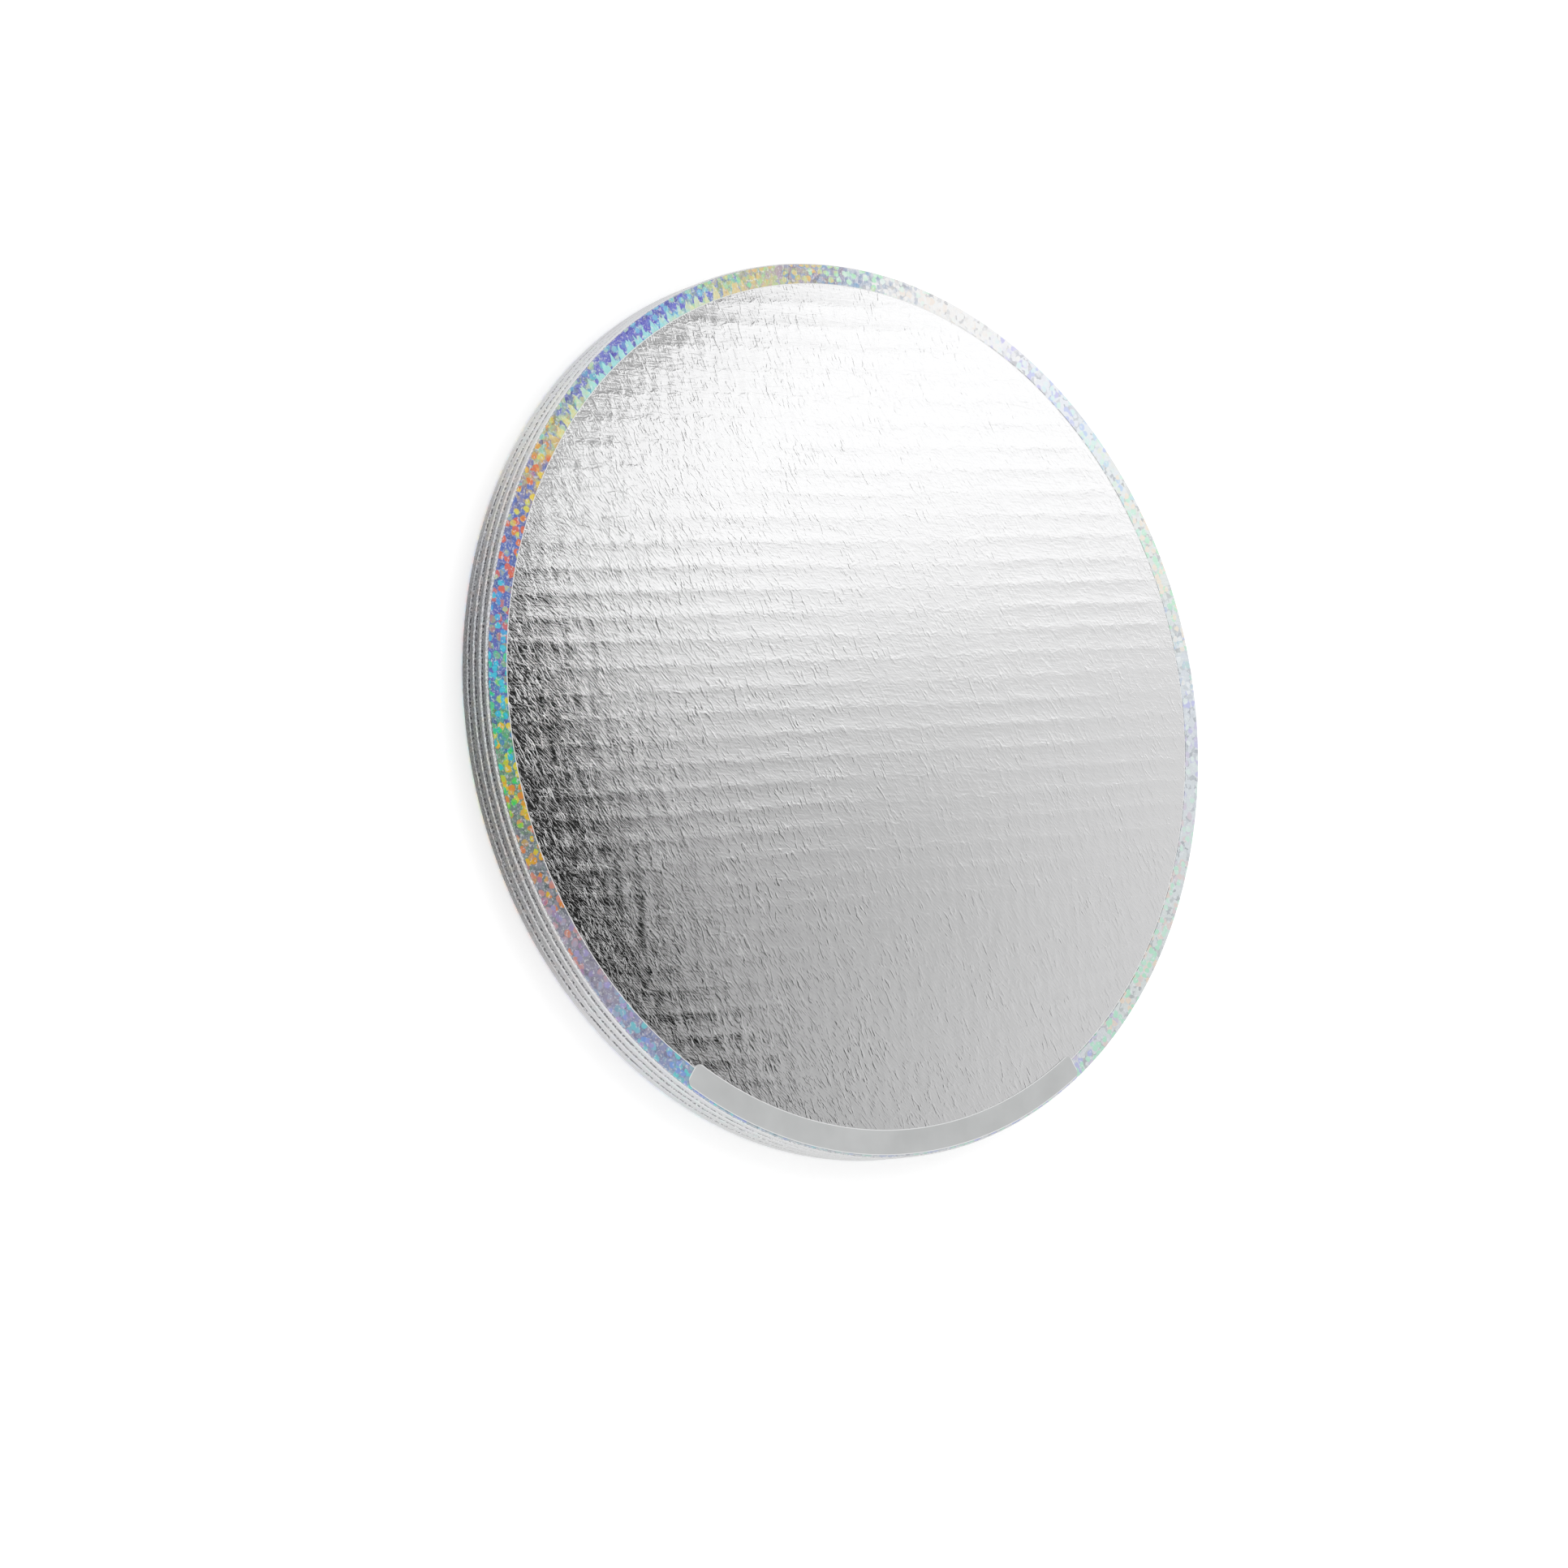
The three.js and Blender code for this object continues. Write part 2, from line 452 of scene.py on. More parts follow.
def silver_foil():
    material, tree, shader = new_material("silver_foil")
    space = object_space(tree)
    plug(tree, creased_normal(tree, space), shader.inputs["Normal"])
    patches = noise_node(tree, space, 40, 3.0)
    plug(tree, remap(tree, patches, 0.3, 0.7, 0.05, 0.09), shader.inputs["Roughness"])
    reach = length_of(tree, flattened(tree, space))
    cut = remap(tree, reach, FACE_RADIUS - 0.30 * MM, FACE_RADIUS - 0.22 * MM)
    plug(tree, mix_colour(tree, cut, SILVER, CUT_PAPER), shader.inputs["Base Color"])
    plug(tree, math_node(tree, "SUBTRACT", 1.0, cut), shader.inputs["Metallic"])
    return material


dress(foil_face, silver_foil(), "silver_foil", "face_disc")

# %% [markdown]
# ## The rim
#
# One strip of foil paper covers the rim. It is pressed tight over the edges of the four
# plies, so it swells over each ply and dips between them, and the slack paper gathers in
# small pleats in each dip. The outline of the strip is drawn once and spun round the board.
# Then each point is pushed in a little where a pleat lies.

# %% Rim strip
PLIES = 4
RIM_STEPS = 1440
BULGE_POINTS = 8
RIM_BULGE = 0.8 * MM
PAPER = 0.3 * MM
TURN_OVER_RADIUS = 138.0 * MM
TURN_OVER_SHARES = (0.12, 0.25, 0.38, 0.5, 0.75)
PLEAT_DEPTH = 0.22 * MM
SWAY_DEPTH = 0.12 * MM
SWAY_RISE = 0.25 * MM
RIM_INSET = 0.1 * MM
LEVEL = 0.2 * MM
WALL_HEIGHT = wrap_high.z - wrap_low.z
PLY = WALL_HEIGHT / PLIES
BULGE_RADIUS = ((PLY / 2) ** 2 + RIM_BULGE ** 2) / (2 * RIM_BULGE)
BULGE_CENTRE = DRUM_RADIUS - BULGE_RADIUS


def bulge_points(index):
    """(radius, height) points over one ply's rounded edge, from its foot to its head."""
    middle = wrap_low.z + (index + 0.5) * PLY
    half_angle = math.asin(PLY / 2 / BULGE_RADIUS)
    points = []
    for step in range(BULGE_POINTS + 1):
        angle = half_angle * (2 * step / BULGE_POINTS - 1)
        points.append((BULGE_CENTRE + BULGE_RADIUS * math.cos(angle),
                       middle + BULGE_RADIUS * math.sin(angle)))
    return points


def rim_outline():
    """The strip's section: underside turn-over, four bulges, upper turn-over, and back."""
    outer = [(TURN_OVER_RADIUS, wrap_low.z), (TURN_OVER_RADIUS + 7 * MM, wrap_low.z)]
    for index in range(PLIES):
        outer += bulge_points(index)[0 if index == 0 else 1:]
    edge = outer[-1][0]
    for share in TURN_OVER_SHARES:
        outer.append((edge + (TURN_OVER_RADIUS - edge) * share, wrap_high.z))
    outer.append((TURN_OVER_RADIUS, wrap_high.z))
    wall = BULGE_CENTRE + math.sqrt((BULGE_RADIUS - PAPER) ** 2 - (PLY / 2) ** 2)
    inner = [
        (TURN_OVER_RADIUS, wrap_high.z - PAPER), (wall, wrap_high.z - PAPER),
        (wall, wrap_low.z + PAPER), (TURN_OVER_RADIUS, wrap_low.z + PAPER)]
    return outer + inner + outer[:1]


def make_rim():
    piece = turn_round(outline_object("foil_rim", rim_outline()), RIM_STEPS)
    for vertex in piece.data.vertices:
        x, y, z = vertex.co
        radius = math.hypot(x, y)
        if radius < DRUM_RADIUS - 1.4 * MM or not wrap_low.z < z < wrap_high.z:
            continue
        angle = math.atan2(y, x)
        dip = (DRUM_RADIUS - radius) / RIM_BULGE
        level = round((z - wrap_low.z) / PLY)
        pleat = noise.noise(Vector((math.cos(angle) * 190, math.sin(angle) * 190, level * 3.7)))
        sway = noise.noise(Vector((math.cos(angle) * 4, math.sin(angle) * 4, level * 1.9)))
        radius -= PLEAT_DEPTH * pleat * dip + SWAY_DEPTH * sway + RIM_INSET
        rise = SWAY_RISE * sway * (1 - abs(1 - dip))
        vertex.co = (radius * math.cos(angle), radius * math.sin(angle), z + rise)
    smooth(piece, 50)
    return piece


def inward_of(x, y, z):
    """How far in from the rim a point lies. It falls below nought down the wall and under it."""
    inset = DRUM_RADIUS - math.hypot(x, y)
    if z > wrap_high.z - LEVEL:
        return inset
    if z < wrap_low.z + LEVEL:
        return -WALL_HEIGHT - inset
    return z - wrap_high.z


def wrap_uv(piece):
    """A map in metres: U runs round the rim, and V is the distance in from it."""
    layer = piece.data.uv_layers.new(name="rim")
    for polygon in piece.data.polygons:
        base = math.atan2(polygon.center.y, polygon.center.x) % math.tau
        for loop in polygon.loop_indices:
            x, y, z = piece.data.vertices[piece.data.loops[loop].vertex_index].co
            angle = math.atan2(y, x) % math.tau
            if angle - base > math.pi:
                angle -= math.tau
            if base - angle > math.pi:
                angle += math.tau
            layer.data[loop].uv = (angle * DRUM_RADIUS, inward_of(x, y, z))


foil_rim = make_rim()
wrap_uv(foil_rim)

# %% [markdown]
# ## Rainbow foil finish
#
# The strip is printed with small round cells that split white light. Seen from one side, each
# stretch of the rim shows one family of hues, which turns through the rainbow along the rim,
# and single cells flash in another hue. The hues are painted into the colour, and where the
# foil mirrors the light the ground is painted pale, even white, as a painted reflection. Three
# colour ramps walk round the board: one for the ground, and two for the cells. On one stretch
# the band breaks into bright teeth along its inner edge, and a fourth ramp colours those.

# %% Rainbow hues
# Each line is a place round the rim, from 0 to 1, then the ground, the first and the second cells.
# The pale and white stretches of this table are painted reflection of the light, not the foil's own hue.
HUES_AND_REFLECTION = (
    (0.000, (0.76, 0.81, 0.87), (0.62, 0.64, 0.92), (0.90, 0.94, 0.96)),
    (0.035, (0.82, 0.87, 0.86), (0.58, 0.92, 0.66), (0.95, 0.86, 0.74)),
    (0.075, (0.88, 0.90, 0.88), (0.68, 0.93, 0.84), (0.96, 0.86, 0.76)),
    (0.105, (0.85, 0.90, 0.94), (0.60, 0.73, 0.95), (0.72, 0.94, 0.86)),
    (0.140, (0.88, 0.89, 0.95), (0.66, 0.64, 0.92), (0.78, 0.92, 0.96)),
    (0.165, (0.96, 0.96, 0.96), (0.95, 0.96, 0.97), (0.97, 0.96, 0.95)),
    (0.205, (0.95, 0.94, 0.92), (0.95, 0.86, 0.78), (0.88, 0.95, 0.92)),
    (0.240, (0.36, 0.44, 0.60), (0.30, 0.48, 0.70), (0.50, 0.90, 0.60)),
    (0.262, (0.54, 0.42, 0.48), (0.30, 0.42, 0.60), (0.93, 0.55, 0.22)),
    (0.285, (0.58, 0.74, 0.36), (0.95, 0.72, 0.22), (0.30, 0.85, 0.45)),
    (0.303, (0.26, 0.34, 0.74), (0.50, 0.92, 0.55), (0.28, 0.80, 0.92)),
    (0.330, (0.16, 0.15, 0.66), (0.22, 0.18, 0.75), (0.28, 0.76, 0.95)),
    (0.372, (0.26, 0.30, 0.70), (0.20, 0.84, 0.80), (0.80, 0.92, 0.45)),
    (0.390, (0.46, 0.66, 0.40), (0.95, 0.82, 0.12), (0.16, 0.80, 0.80)),
    (0.403, (0.62, 0.46, 0.24), (0.95, 0.72, 0.10), (0.85, 0.16, 0.06)),
    (0.417, (0.30, 0.30, 0.56), (0.93, 0.30, 0.08), (0.95, 0.62, 0.14)),
    (0.432, (0.16, 0.24, 0.62), (0.88, 0.20, 0.12), (0.80, 0.80, 0.14)),
    (0.455, (0.14, 0.22, 0.58), (0.78, 0.20, 0.18), (0.12, 0.36, 0.88)),
    (0.470, (0.20, 0.18, 0.60), (0.62, 0.26, 0.32), (0.10, 0.72, 0.90)),
    (0.494, (0.10, 0.34, 0.58), (0.06, 0.78, 0.40), (0.06, 0.62, 0.90)),
    (0.509, (0.16, 0.58, 0.24), (0.92, 0.84, 0.08), (0.06, 0.80, 0.16)),
    (0.522, (0.26, 0.40, 0.26), (0.94, 0.62, 0.05), (0.50, 0.80, 0.10)),
    (0.538, (0.22, 0.28, 0.28), (0.93, 0.36, 0.05), (0.94, 0.64, 0.06)),
    (0.556, (0.32, 0.34, 0.38), (0.85, 0.30, 0.14), (0.60, 0.22, 0.30)),
    (0.580, (0.40, 0.38, 0.47), (0.70, 0.42, 0.46), (0.42, 0.42, 0.70)),
    (0.606, (0.42, 0.40, 0.56), (0.38, 0.58, 0.80), (0.58, 0.46, 0.78)),
    (0.638, (0.36, 0.42, 0.68), (0.20, 0.78, 0.80), (0.26, 0.46, 0.92)),
    (0.660, (0.40, 0.60, 0.68), (0.22, 0.80, 0.78), (0.42, 0.46, 0.86)),
    (0.690, (0.64, 0.67, 0.70), (0.60, 0.66, 0.76), (0.60, 0.70, 0.72)),
    (0.820, (0.72, 0.75, 0.80), (0.52, 0.56, 0.88), (0.54, 0.86, 0.70)),
    (0.880, (0.76, 0.81, 0.80), (0.90, 0.76, 0.62), (0.50, 0.86, 0.66)),
    (1.000, (0.76, 0.81, 0.87), (0.62, 0.64, 0.92), (0.90, 0.94, 0.96)))
TEETH = (
    (0.264, (0.88, 0.56, 0.26)), (0.285, (0.92, 0.66, 0.30)), (0.303, (0.86, 0.90, 0.55)),
    (0.330, (0.45, 0.92, 0.92)), (0.365, (0.50, 0.94, 0.86)), (0.385, (0.92, 0.88, 0.40)),
    (0.405, (0.92, 0.50, 0.12)))
TEETH_FROM, TEETH_TO = 0.25, 0.42
TOOTH = 4.4 * MM
HUE_JITTER = 0.018
# Each line is a column of the hues, then the size, reach, shift and rarity of its cells.
CELL_SETS = (
    (1, 2.1 * MM, 0.42, 0.3, 0.55),
    (2, 2.9 * MM, 0.40, 0.0, 0.50),
    (3, 0.85 * 2.9 * MM, 0.40, 0.7, 0.58))

# %% [markdown]
# ## Parts of the rainbow pattern
#
# Nothing in the pattern is quite regular. The map of the strip is shaken before the cells and
# the teeth are drawn on it, and each cell takes its hue from a slightly different place round
# the rim. The ground under the cells is mottled in the same way.

# %% Cells and teeth


def shaken(tree, place, scale, amount):
    """The same place pushed about by a noise."""
    source = tree.nodes.new("ShaderNodeTexNoise")
    plug(tree, place, source.inputs["Vector"])
    source.inputs["Scale"].default_value = scale
    push = tree.nodes.new("ShaderNodeVectorMath")
    push.operation = "MULTIPLY_ADD"
    tree.links.new(source.outputs["Color"], push.inputs[0])
    push.inputs[1].default_value = (amount, amount, 0)
    plug(tree, place, push.inputs[2])
    return push.outputs["Vector"]


def round_cells(tree, place, size, grow, seed):
    """Round cells strewn over the band: one inside them, and each cell's own numbers."""
    shift = tree.nodes.new("ShaderNodeVectorMath")
    plug(tree, place, shift.inputs[0])
    shift.inputs[1].default_value = (seed, seed * 0.37, 0)
    cells = tree.nodes.new("ShaderNodeTexVoronoi")
    cells.voronoi_dimensions = "2D"
    tree.links.new(shift.outputs["Vector"], cells.inputs["Vector"])
    cells.inputs["Scale"].default_value = 1 / size
    cells.inputs["Randomness"].default_value = 0.85
    numbers = tree.nodes.new("ShaderNodeSeparateColor")
    tree.links.new(cells.outputs["Color"], numbers.inputs["Color"])
    inside = remap(tree, cells.outputs["Distance"], grow, grow + 0.1, 1.0, 0.0)
    return inside, numbers.outputs


def cell_hue(tree, turn, number, column):
    """The colour of a cell: one column of the hues, read a little off the cell's own place."""
    jitter = remap(tree, number, 0, 1, -HUE_JITTER, HUE_JITTER)
    stops = [(line[0], line[column]) for line in HUES_AND_REFLECTION]
    return ramp(tree, math_node(tree, "ADD", turn, jitter), stops)


def mottled_ground(tree, place, turn):
    """The ground of the band: small patches, some paler and some deeper than the rest."""
    _, numbers = round_cells(tree, place, 1.7 * MM, 0.4, 0.55)
    ground = cell_hue(tree, turn, numbers["Blue"], 1)
    pale = remap(tree, noise_node(tree, place, 1500, 2.0), 0.50, 0.70, 0.0, 0.6)
    ground = mix_colour(tree, pale, ground, (0.86, 0.88, 0.92, 1.0))
    deep = remap(tree, numbers["Red"], 0.5, 1.0, 0.0, 0.35)
    return mix_colour(tree, deep, ground, (0.0, 0.0, 0.04, 1.0))


def with_cells(tree, colour, loose, turn, toothed):
    """The colour with the sets of flashing cells over it, which are weaker among the teeth."""
    quiet = math_node(tree, "SUBTRACT", 1.0, math_node(tree, "MULTIPLY", toothed, 0.35))
    for column, size, grow, seed, rarity in CELL_SETS:
        inside, numbers = round_cells(tree, loose, size, grow, seed)
        flash = cell_hue(tree, turn, numbers["Red"], column)
        chosen = remap(tree, numbers["Green"], rarity, rarity + 0.04)
        lit = math_node(tree, "MULTIPLY", math_node(tree, "MULTIPLY", inside, chosen), quiet)
        colour = mix_colour(tree, math_node(tree, "MULTIPLY", lit, 0.95), colour, flash)
    return colour


def tooth_share(tree, loose):
    """One inside the teeth that point outwards from the inner edge of the band."""
    along, inward, _ = parts_of(tree, loose)
    uneven = remap(tree, noise_node(tree, along, 300, 1.0), 0.3, 0.7, -0.9 * MM, 0.9 * MM)
    wave = math_node(tree, "PINGPONG", math_node(tree, "ADD", along, uneven), TOOTH / 2)
    reach = remap(tree, wave, 0.0, TOOTH / 2, 3.6 * MM, 8.6 * MM)
    past = math_node(tree, "SUBTRACT", math_node(tree, "ADD", inward, uneven), reach)
    return remap(tree, past, -0.2 * MM, 0.2 * MM)


def with_teeth(tree, colour, loose, turn, toothed):
    """The colour with the bright teeth over it."""
    width = TEETH_TO - TEETH_FROM
    stops = [((spot - TEETH_FROM) / width, shade) for spot, shade in TEETH]
    bright = ramp(tree, remap(tree, turn, TEETH_FROM, TEETH_TO), stops)
    share = math_node(tree, "MULTIPLY", tooth_share(tree, loose), toothed)
    return mix_colour(tree, math_node(tree, "MULTIPLY", share, 0.9), colour, bright)


# %% [markdown]
# ## The rainbow foil as a whole
#
# Seen from the side, the wall of the rim throws back mostly silver, with only a trace of the
# hues. Specks of painted shade sit in the grooves between two plies, and darker specks cover
# one stretch of the wall. A dashed painted shadow runs along the cut edge of the foil disc on
# the +X side.

# %% Rainbow foil material
SILVER_PAPER = (0.82, 0.82, 0.82, 1.0)
GLINT = (0.90, 0.93, 0.96, 1.0)
# Colour of the painted shadow beside the cut edge of the foil disc.
SEAM_SHADOW = (0.10, 0.11, 0.13, 1.0)
# Colour of the specks of painted shade on the wall.
SPECK_SHADE = (0.04, 0.04, 0.05, 1.0)


def seam_shadow(tree, along, inward):
    """The dashed painted shadow beside the cut edge of the foil disc."""
    beside = remap(tree, inward, 6.75 * MM, 6.95 * MM)
    dashes = remap(tree, noise_node(tree, along, 260, 2.0), 0.44, 0.52)
    side = remap(tree, parts_of(tree, object_space(tree))[0], 0.05, 0.09, 0.0, 0.8)
    return math_node(tree, "MULTIPLY", beside, math_node(tree, "MULTIPLY", dashes, side))


def groove_shade_specks(tree, place, inward, turn):
    """Specks of painted shade in the grooves, and darker specks all over one stretch of the wall."""
    level = math_node(tree, "PINGPONG", inward, PLY / 2)
    groove = remap(tree, level, 0.15 * MM, 0.75 * MM, 1.0, 0.0)
    dark_stretch = math_node(tree, "MULTIPLY", between(tree, turn, 0.40, 0.45, 0.55, 0.60), 0.4)
    grit = noise_node(tree, stretched(tree, place, 0.9 * MM, 0.45 * MM), 1.0, 2.0)
    spread = math_node(tree, "MAXIMUM", groove, dark_stretch)
    return math_node(tree, "MULTIPLY", spread, remap(tree, grit, 0.42, 0.56))


def band_share(tree, inward):
    """One on the turned-over bands, above and under the board, and nought on the wall."""
    above = remap(tree, inward, -0.2 * MM, 0.1 * MM)
    under = remap(tree, inward, -WALL_HEIGHT - 0.4 * MM, -WALL_HEIGHT - 0.1 * MM, 1.0, 0.0)
    return math_node(tree, "MAXIMUM", above, under)


def rainbow_foil():
    material, tree, shader = new_material("rainbow_foil")
    place = uv_space(tree, "rim")
    along, inward, _ = parts_of(tree, place)
    cloud = remap(tree, noise_node(tree, place, 380, 2.0), 0.3, 0.7, -0.010, 0.010)
    turn = math_node(tree, "ADD", math_node(tree, "DIVIDE", along, math.tau * DRUM_RADIUS), cloud)
    loose = shaken(tree, place, 420, 1.6 * MM)
    toothed = between(tree, turn, 0.268, 0.290, 0.392, 0.410)
    colour = mottled_ground(tree, place, turn)
    colour = with_cells(tree, colour, loose, turn, toothed)
    colour = with_teeth(tree, colour, loose, turn, toothed)
    glint = remap(tree, noise_node(tree, loose, 900, 1.0), 0.60, 0.66, 0.0, 0.55)
    colour = mix_colour(tree, glint, colour, GLINT)
    # Painted shadow beside the cut edge of the foil disc.
    colour = mix_colour(tree, seam_shadow(tree, along, inward), colour, SEAM_SHADOW)
    # Painted shade in the grooves between plies, and darker specks over one stretch of the wall.
    shade_specks = math_node(tree, "MULTIPLY", groove_shade_specks(tree, place, inward, turn), 0.95)
    wall = mix_colour(tree, shade_specks, mix_colour(tree, 0.09, SILVER_PAPER, colour), SPECK_SHADE)
    on_band = band_share(tree, inward)
    plug(tree, mix_colour(tree, on_band, wall, colour), shader.inputs["Base Color"])
    plug(tree, remap(tree, on_band, 0, 1, 0.95, 0.25), shader.inputs["Metallic"])
    shader.inputs["Roughness"].default_value = 0.13
    pleats = noise_node(tree, stretched(tree, place, 0.7 * MM, 2.2 * MM), 1.0, 3.0)
    normal = bump(tree, remap(tree, pleats, 0.3, 0.7), 0.035 * MM)
    normal = bump(tree, noise_node(tree, place, 2600, 2.0), 0.008 * MM, normal)
    plug(tree, normal, shader.inputs["Normal"])
    return material


dress(foil_rim, rainbow_foil(), "rainbow_foil", "edge_wrap")

# %% [markdown]
# ## The blank strip
#
# A narrow film lies over the front of the rim and just onto the silver foil. It is a long
# flat plate with rounded corners, cut across into short lengths and then laid round the
# board by moving its points, as a real label is bent to fit. It is grey, with a thin pale
# outline that is drawn on a map of the strip as it was before it was bent.

# %% Label film
LABEL_MIDDLE = math.radians(-94.25)
LABEL_SPAN = math.radians(67.5)
LABEL_WIDTH = 8.4 * MM
LABEL_CORNER = 2.5 * MM
LABEL_OUTER = DRUM_RADIUS - RIM_BULGE - 0.4 * MM
LABEL_LENGTH = LABEL_SPAN * LABEL_OUTER
LABEL_FILM = 0.15 * MM
LABEL_CUTS = 90
LABEL_LANES = (-0.34, -0.22, -0.1, 0.1, 0.3)
FACE_STEP = face_high.z - wrap_high.z + 0.06 * MM


def flat_label():
    """The plate with rounded corners, cut into short lengths and narrow lanes."""
    deselect()
    bpy.ops.mesh.primitive_plane_add(size=1)
    piece = bpy.context.object
    piece.name = "label_film"
    piece.scale = (LABEL_LENGTH, LABEL_WIDTH, 1)
    bpy.ops.object.transform_apply(scale=True)
    bpy.ops.object.mode_set(mode="EDIT")
    bpy.ops.mesh.select_all(action="SELECT")
    bpy.ops.mesh.bevel(offset=LABEL_CORNER, segments=8, affect="VERTICES")
    for cut in range(1, LABEL_CUTS):
        bpy.ops.mesh.select_all(action="SELECT")
        bpy.ops.mesh.bisect(
            plane_co=(LABEL_LENGTH * (cut / LABEL_CUTS - 0.5), 0, 0), plane_no=(1, 0, 0))
    for share in LABEL_LANES:
        bpy.ops.mesh.select_all(action="SELECT")
        bpy.ops.mesh.bisect(plane_co=(0, LABEL_WIDTH * share, 0), plane_no=(0, 1, 0))
    bpy.ops.object.mode_set(mode="OBJECT")
    return piece


def strip_uv(piece):
    """A map of the flat strip, in metres from its middle."""
    layer = fresh_map(piece, "strip")
    for loop in piece.data.loops:
        layer.data[loop.index].uv = piece.data.vertices[loop.vertex_index].co.xy


def make_label():
    piece = flat_label()
    strip_uv(piece)
    for vertex in piece.data.vertices:
        along, across, _ = vertex.co
        radius = LABEL_OUTER - LABEL_WIDTH / 2 - across
        angle = LABEL_MIDDLE + along / LABEL_OUTER
        on_face = min(1.0, max(0.0, (FACE_RADIUS + 1.5 * MM - radius) / (1.2 * MM)))
        height = wrap_high.z + FACE_STEP * on_face + 0.02 * MM
        vertex.co = (radius * math.cos(angle), radius * math.sin(angle), height)
    outward_normals(piece)
    thick = piece.modifiers.new("film", "SOLIDIFY")
    thick.thickness = LABEL_FILM
    thick.offset = 1.0
    bpy.ops.object.modifier_apply(modifier=thick.name)
    smooth(piece, 40)
    return piece


def label_film():
    material, tree, shader = new_material("label_film")
    along, across, _ = parts_of(tree, uv_space(tree, "strip"))
    cloud = noise_node(tree, object_space(tree), 60, 3.0)
    colour = ramp(tree, cloud, ((0.3, (0.53, 0.54, 0.54)), (0.7, (0.61, 0.62, 0.62))))
    near_end = remap(tree, math_node(tree, "ABSOLUTE", along),
                     LABEL_LENGTH / 2 - 0.40 * MM, LABEL_LENGTH / 2 - 0.25 * MM)
    near_side = remap(tree, math_node(tree, "ABSOLUTE", across),
                      LABEL_WIDTH / 2 - 0.35 * MM, LABEL_WIDTH / 2 - 0.22 * MM)
    outline = math_node(tree, "MAXIMUM", near_end, near_side)
    colour = mix_colour(tree, outline, colour, (0.86, 0.87, 0.87, 1.0))
    plug(tree, colour, shader.inputs["Base Color"])
    shader.inputs["Roughness"].default_value = 0.35
    grain = noise_node(tree, object_space(tree), 900)
    plug(tree, bump(tree, grain, 0.01 * MM), shader.inputs["Normal"])
    return material


label = make_label()
dress(label, label_film(), "label_film", "label_strip")

# %% [markdown]
# ## The hidden board and the underside
#
# The plies are closed in by the foil and the paper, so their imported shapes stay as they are
# and get a brown board finish. The paper under the board is a plain disc.

# %% Board and backing paper


def fibrous(name, fibre_of, tones, roughness, depth):
    """A matt material whose fibres give it two tones and a faint relief."""
    material, tree, shader = new_material(name)
    fibre = fibre_of(tree)
    plug(tree, ramp(tree, fibre, tones), shader.inputs["Base Color"])
    shader.inputs["Roughness"].default_value = roughness
    plug(tree, bump(tree, fibre, depth), shader.inputs["Normal"])
    return material


def board_fibre(tree):
    return noise_node(tree, stretched(tree, object_space(tree), 5 * MM, 1 * MM), 1.0, 4.0)


def paper_fibre(tree):
    return noise_node(tree, object_space(tree), 1200, 4.0)


def finish_packed(name, material):
    """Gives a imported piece, which keeps its shape, a finish of this script's."""
    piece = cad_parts[name]
    piece.data.materials.clear()
    piece.data.materials.append(material)


brown_board = fibrous("corrugated_board", board_fibre,
                      ((0.3, (0.30, 0.18, 0.09)), (0.7, (0.42, 0.27, 0.14))), 0.9, 0.03 * MM)
backing_paper = fibrous("backing_paper", paper_fibre,
                        ((0.3, (0.78, 0.77, 0.74)), (0.7, (0.84, 0.83, 0.80))), 0.8, 0.02 * MM)
for index in range(1, PLIES + 1):
    finish_packed("core_ply_%d" % index, brown_board)
finish_packed("back_disc", backing_paper)

# %% [markdown]
# ## Floor
#
# The floor is white, and it keeps the board's shadow. Foil is only as bright as what it
# mirrors, so the foil sees a glowing floor of its own, with painted shade close to the board
# on the left, and white further off. The floor is open under the board and clear from below,
# so that the underside can be looked at too.

# %% Floor
FLOOR_GAP = 0.1 * MM
FLOOR_GLOW = 0.35
FLOOR_SHADE = 0.28
BOARD_FOOT = DRUM_RADIUS - RIM_BULGE


def mirrored_floor(tree, space):
    """The floor as the foil sees it: a glow with painted shade near the board on the left."""
    shade = remap(tree, parts_of(tree, space)[0], -0.155, -0.120, FLOOR_SHADE, 0.80)
    away = remap(tree, length_of(tree, space), 0.160, 0.190)
    node = tree.nodes.new("ShaderNodeEmission")
    plug(tree, mix_colour(tree, away, shade, WHITE), node.inputs["Color"])
    return node.outputs["Emission"]


def floor_material():
    material, tree, shader = new_material("floor")
    rays = tree.nodes.new("ShaderNodeLightPath").outputs
    shader.inputs["Base Color"].default_value = (0.92, 0.92, 0.92, 1)
    shader.inputs["Roughness"].default_value = 1.0
    shader.inputs["Specular IOR Level"].default_value = 0.0
    shader.inputs["Emission Color"].default_value = WHITE
    glow = math_node(tree, "MULTIPLY", rays["Is Camera Ray"], FLOOR_GLOW)
    plug(tree, glow, shader.inputs["Emission Strength"])
    space = object_space(tree)
    by_mirror = mix_shaders(
        tree, rays["Is Glossy Ray"], shader.outputs["BSDF"], mirrored_floor(tree, space))
    covered = remap(tree, length_of(tree, space), BOARD_FOOT - 0.5 * MM, BOARD_FOOT - 0.4 * MM, 1.0, 0.0)
    behind = tree.nodes.new("ShaderNodeNewGeometry").outputs["Backfacing"]
    clear = tree.nodes.new("ShaderNodeBsdfTransparent").outputs["BSDF"]
    surface = mix_shaders(tree, math_node(tree, "MAXIMUM", behind, covered), by_mirror, clear)
    tree.links.new(surface, tree.nodes["Material Output"].inputs["Surface"])
    return material


def make_floor():
    deselect()
    bpy.ops.mesh.primitive_plane_add(size=8, location=(0, 0, -FLOOR_GAP))
    floor = bpy.context.object
    floor.name = "floor"
    floor.data.materials.append(floor_material())


make_floor()

# %% [markdown]
# ## Room
#
# The camera sees a white backdrop, and the board is lit by a plain light from all round. Foil
# mirrors a room instead: pale bands one above another, so that the ridges of the rim show, and
# one dark side, low down on the camera's left.

